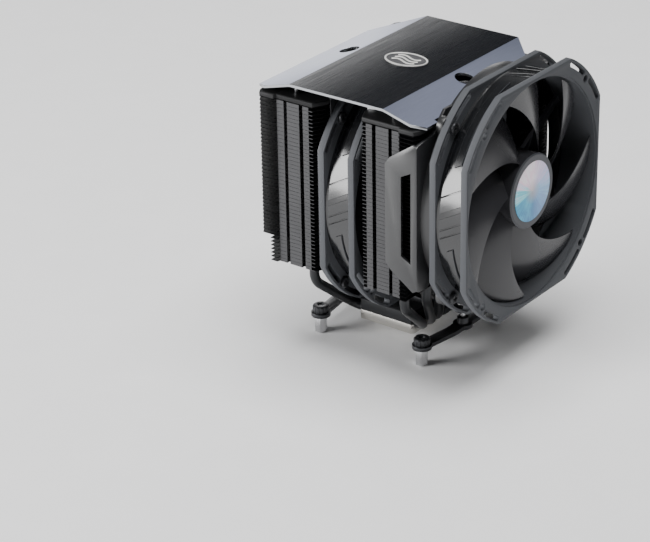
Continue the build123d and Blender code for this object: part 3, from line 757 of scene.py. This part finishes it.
class COOLER_OT_fan_frames(Operator):
    """Moulded fan frames with a grooved band and narrow strips round the barrel"""
    bl_idname = "cooler.fan_frames"
    bl_label = "Fan Frames"

    # Start and end of each raised stretch of the band in one quarter, in degrees at the band's rear.
    STRETCHES = ((-7.0, 0.4), (3.4, 8.6), (9.4, 12.6), (13.4, 82.2))
    STRIP = (20.5, 69.5)
    CUTS = 3              # rings of points across a bar, so that it can twist
    SLICE = 0.2           # degrees of the first thin slice of a bar
    STEP = 2.5            # degrees for each step of its sweep
    ROOT = 0.4 * MM       # how deep a bar sits in what it stands on

    def execute(self, context):
        pattern = self.pattern()
        for side in FANS:
            node_name = side + "_fan_frame"
            moulding = copy_of(node_name, side + "_frame")
            soften(moulding, sizes().mould_bevel)
            place = Matrix.Translation(fan_rear(side))
            quarters = [turned(pattern, place @ Matrix.Rotation(pi / 2 * step, 4, "X"), side + "_band")
                        for step in range(4)]
            whole = join([moulding] + quarters, side + "_frame")
            install(whole, body_of(node_name), slot_of(node_name), frame_plastic(), band_gloss(),
                    replaces=[node_name])
            self.polish(whole, fan_rear(side))
        bpy.data.objects.remove(pattern)
        return {"FINISHED"}

    def polish(self, whole, rear):
        """Gives the round outside of the barrel its glossier finish."""
        size = sizes()
        for face in whole.data.polygons:
            away = face.center - rear
            radius = (away.y ** 2 + away.z ** 2) ** 0.5
            outside = size.barrel_radius - 0.2 * MM < radius < size.barrel_radius + 2 * MM
            between = size.band_rear - MM < away.x < size.band_front + MM
            if outside and between and abs(face.normal.x) < 0.5:
                face.material_index = 1

    def pattern(self):
        """One quarter of the raised pattern, with the fan's axis on X and its rear face at zero."""
        size = sizes()
        top = size.barrel_radius + size.band_height
        pieces = [self.arc(start, end, size.band_rear, size.band_front, size.barrel_radius - self.ROOT, top)
                  for start, end in self.STRETCHES]
        pieces.append(self.arc(*self.STRIP, size.strip_rear, size.strip_front, top - self.ROOT,
                               top + size.strip_height))
        return join(pieces, "pattern")

    def arc(self, start, end, rear, front, inner, outer):
        """A curved bar about the X axis with slanted ends. Its sweep runs from +Y towards +Z."""
        thin = radians(self.SLICE) * inner
        bar = block("arc", ((rear + front) / 2, (inner + outer) / 2, 0), (front - rear, outer - inner, thin))
        pick(bar, lambda at, normal: normal.z > 0.9)
        sweep = radians(end - start)
        steps = max(2, round((end - start) / self.STEP))
        bpy.ops.mesh.spin(steps=steps, angle=-sweep, center=(0, 0, 0), axis=(1, 0, 0))
        leave()
        for step in range(1, self.CUTS + 1):
            cut = rear + (front - rear) * step / (self.CUTS + 1)
            only(bar)
            bpy.ops.object.mode_set(mode="EDIT")
            bpy.ops.mesh.select_all(action="SELECT")
            bpy.ops.mesh.bisect(plane_co=(cut, 0, 0), plane_no=(1, 0, 0))
            leave()
        twist = sizes().band_twist * (front - rear) / (sizes().band_front - sizes().band_rear)
        middle = (rear + front) / 2 - sizes().band_rear
        lead = sizes().band_twist * middle / (sizes().band_front - sizes().band_rear)
        modify(bar, "SIMPLE_DEFORM", deform_method="TWIST", deform_axis="X", angle=twist)
        bar.data.transform(Matrix.Rotation(radians(start) + lead, 4, "X"))
        pick(bar, lambda at, normal: True)
        bpy.ops.mesh.remove_doubles(threshold=1e-6)
        bpy.ops.mesh.normals_make_consistent(inside=False)
        leave()
        soften(bar, 0.15 * MM, segments=1)
        return bar


class COOLER_OT_rotors(Operator):
    """Fan rotors with a foil disc on each hub"""
    bl_idname = "cooler.rotors"
    bl_label = "Rotors"

    def execute(self, context):
        for side in FANS:
            self.rotor(side)
            refine(side + "_hub_disc", side + "_disc", hub_foil_and_sheen(side), 0.1 * MM)
            finish_node(side + "_magnet_ring", magnet())
            finish_node(side + "_fan_shaft", steel())
        return {"FINISHED"}

    def rotor(self, side):
        """Glossy blades and hub, with a matt face round the disc."""
        node_name = side + "_fan_rotor"
        face_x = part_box(side + "_hub_disc")[0].x
        piece = copy_of(node_name, side + "_blades")
        only(piece)
        bpy.ops.object.shade_smooth_by_angle(angle=radians(30))
        install(piece, body_of(node_name), slot_of(node_name), blade_plastic(), hub_rim(),
                replaces=[node_name])
        for face in piece.data.polygons:
            if face.normal.x > 0.5 and face.center.x > face_x - 1.0 * MM:
                face.material_index = 1


class COOLER_OT_motors(Operator):
    """Stator, windings, bearing and circuit board of each fan"""
    bl_idname = "cooler.motors"
    bl_label = "Motors"

    def execute(self, context):
        for side in FANS:
            finish_node(side + "_stator_core", core_steel())
            finish_node(side + "_fan_bearing", bronze())
            finish_node(side + "_fan_circuit_board", board_lacquer())
            finish_node(side + "_stator_coils", copper_wire())
        return {"FINISHED"}


class COOLER_OT_carriers(Operator):
    """Front fan's bracket, middle fan's plate and the fan screws"""
    bl_idname = "cooler.carriers"
    bl_label = "Fan Carriers"

    def execute(self, context):
        refine("front_fan_bracket", "fan_bracket", bracket_plastic(), 0.4 * MM)
        refine("middle_fan_plate", "fan_plate", dark_steel(), 0.1 * MM)
        for side in FANS:
            refine(side + "_fan_screws", side + "_screws", dark_steel(), sizes().metal_bevel)
        return {"FINISHED"}


class COOLER_OT_mounting(Operator):
    """Crossbar, bars, standoffs, nuts, spring screws and clips"""
    bl_idname = "cooler.mounting"
    bl_label = "Mounting"

    def execute(self, context):
        size = sizes()
        refine("mounting_crossbar", "crossbar", dark_steel(), size.metal_bevel)
        for side in ("front", "rear"):
            refine(side + "_mounting_bar", side + "_bar", dark_steel(), size.metal_bevel)
            refine(side + "_spring_screw", side + "_driver_screw", steel(), size.metal_bevel)
            refine(side + "_retaining_clip", side + "_clip", steel(), 0.05 * MM)
        refine("standoffs", "pillars", steel(), size.metal_bevel)
        refine("thumb_nuts", "nuts", dark_steel(), size.metal_bevel)
        return {"FINISHED"}


class COOLER_OT_springs(Operator):
    """Coil springs wound to fill the boxes of the CAD springs"""
    bl_idname = "cooler.springs"
    bl_label = "Springs"

    def execute(self, context):
        for side in ("front", "rear"):
            self.spring(side)
        return {"FINISHED"}

    def spring(self, side):
        node_name = side + "_screw_spring"
        low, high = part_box(node_name)
        middle = centre(node_name)
        wire = sizes().spring_wire
        radius = (high.x - low.x) / 2 - wire
        coils = sizes().spring_coils
        height = high.z - low.z - 2 * wire
        deselect()
        start = Vector((middle.x + radius, middle.y, low.z + wire))
        bpy.ops.mesh.primitive_circle_add(vertices=12, radius=wire, fill_type="NGON", location=start,
                                          rotation=(pi / 2, 0, 0))
        coil = bpy.context.object
        coil.name = side + "_spring"
        settle(coil)
        coil.data.transform(Matrix.Translation((-middle.x, -middle.y, 0)))
        modify(coil, "SCREW", axis="Z", angle=2 * pi * coils, screw_offset=height, iterations=1,
               steps=36 * coils, render_steps=36 * coils, use_smooth_shade=True)
        coil.data.transform(Matrix.Translation((middle.x, middle.y, 0)))
        pick(coil, lambda at, normal: True)
        bpy.ops.mesh.remove_doubles(threshold=1e-6)
        bpy.ops.mesh.normals_make_consistent(inside=False)
        leave()
        install(coil, body_of(node_name), slot_of(node_name), steel("spring_steel", 0.3),
                replaces=[node_name])
        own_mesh(coil)


class COOLER_OT_stage(Operator):
    """Pale floor, soft studio lights and the camera"""
    bl_idname = "cooler.stage"
    bl_label = "Studio"

    def execute(self, context):
        self.floor()
        self.lights()
        self.camera()
        return {"FINISHED"}

    def floor(self):
        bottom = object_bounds()[0][2]
        deselect()
        bpy.ops.mesh.primitive_plane_add(size=12, location=(0, 0, bottom - 0.2 * MM))
        floor = bpy.context.object
        floor.name = "studio_floor"
        settle(floor)
        floor.data.materials.append(moulded("studio_floor", colours().floor, 0.85, 0.01, 40.0, 0.0))
        floor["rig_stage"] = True

    def lights(self):
        aim = Vector((0, 0, 0.1))
        for name, place, size, power in (
            ("key", (-1.30, -1.55, 0.50), 1.15, stage().key_power),
            ("back", (-1.55, 1.60, 0.35), 0.9, stage().back_power),
            ("ridge", (-0.45, 1.30, 1.35), 0.7, stage().ridge_power),
            ("top", (0.2, 0.0, 2.3), 1.8, stage().top_power),
        ):
            deselect()
            bpy.ops.object.light_add(type="AREA", location=place)
            light = bpy.context.object
            light.name = name
            light.data.shape = "SQUARE"
            light.data.size = size
            light.data.energy = power
            light.rotation_euler = (aim - Vector(place)).to_track_quat("-Z", "Y").to_euler()
        world = bpy.data.worlds.new("studio")
        bpy.context.scene.world = world
        world.use_nodes = True
        backdrop = world.node_tree.nodes["Background"]
        backdrop.inputs["Color"].default_value = (1, 1, 1, 1)
        backdrop.inputs["Strength"].default_value = stage().world_strength

    def camera(self):
        """Camera at the product view: turned, raised, and tilted a little about its own axis."""
        view = stage()
        turn, rise, roll = view.azimuth, view.elevation, view.roll
        back = Vector((sin(turn) * cos(rise), -cos(turn) * cos(rise), sin(rise)))
        right = Vector((cos(turn), sin(turn), 0))
        up = back.cross(right)
        tilted_right = cos(roll) * right - sin(roll) * up
        tilted_up = sin(roll) * right + cos(roll) * up
        deselect()
        bpy.ops.object.camera_add()
        camera = bpy.context.object
        camera.name = "product_camera"
        camera.data.lens = view.lens
        camera.data.sensor_width = 36
        camera.data.clip_end = 100
        rows = Matrix((tilted_right, tilted_up, back)).transposed()
        camera.matrix_world = Matrix.Translation(Vector(view.target) + back * view.distance) @ rows.to_4x4()
        bpy.context.scene.camera = camera


class COOLER_PT_panel(Panel):
    """Lists the cooler's pieces in the sidebar"""
    bl_idname = "COOLER_PT_panel"
    bl_label = "CPU Tower Cooler"
    bl_space_type = "VIEW_3D"
    bl_region_type = "UI"
    bl_category = "Cooler"

    def draw(self, context):
        for operator in OPERATORS:
            self.layout.operator(operator.bl_idname)
        for name in GROUPS:
            column = self.layout.column(align=True)
            settings = getattr(context.scene, name)
            for prop in settings.bl_rna.properties:
                if prop.identifier not in ("rna_type", "name"):
                    column.prop(settings, prop.identifier)


OPERATORS = (
    COOLER_OT_top_cover,
    COOLER_OT_badge,
    COOLER_OT_fins,
    COOLER_OT_caps,
    COOLER_OT_heat_pipes,
    COOLER_OT_base,
    COOLER_OT_fan_frames,
    COOLER_OT_rotors,
    COOLER_OT_motors,
    COOLER_OT_carriers,
    COOLER_OT_mounting,
    COOLER_OT_springs,
    COOLER_OT_stage,
)
GROUPS = {"cooler_sizes": CoolerSizes, "cooler_colours": CoolerColours, "cooler_stage": CoolerStage}


def register():
    for cls in (*GROUPS.values(), *OPERATORS, COOLER_PT_panel):
        bpy.utils.register_class(cls)
    for name, cls in GROUPS.items():
        setattr(bpy.types.Scene, name, PointerProperty(type=cls))


def unregister():
    for name in GROUPS:
        delattr(bpy.types.Scene, name)
    for cls in (COOLER_PT_panel, *reversed(OPERATORS), *GROUPS.values()):
        bpy.utils.unregister_class(cls)


def main():
    register()
    for operator in OPERATORS:
        getattr(bpy.ops.cooler, operator.bl_idname.split(".")[1])()


if __name__ == "__main__":
    main()
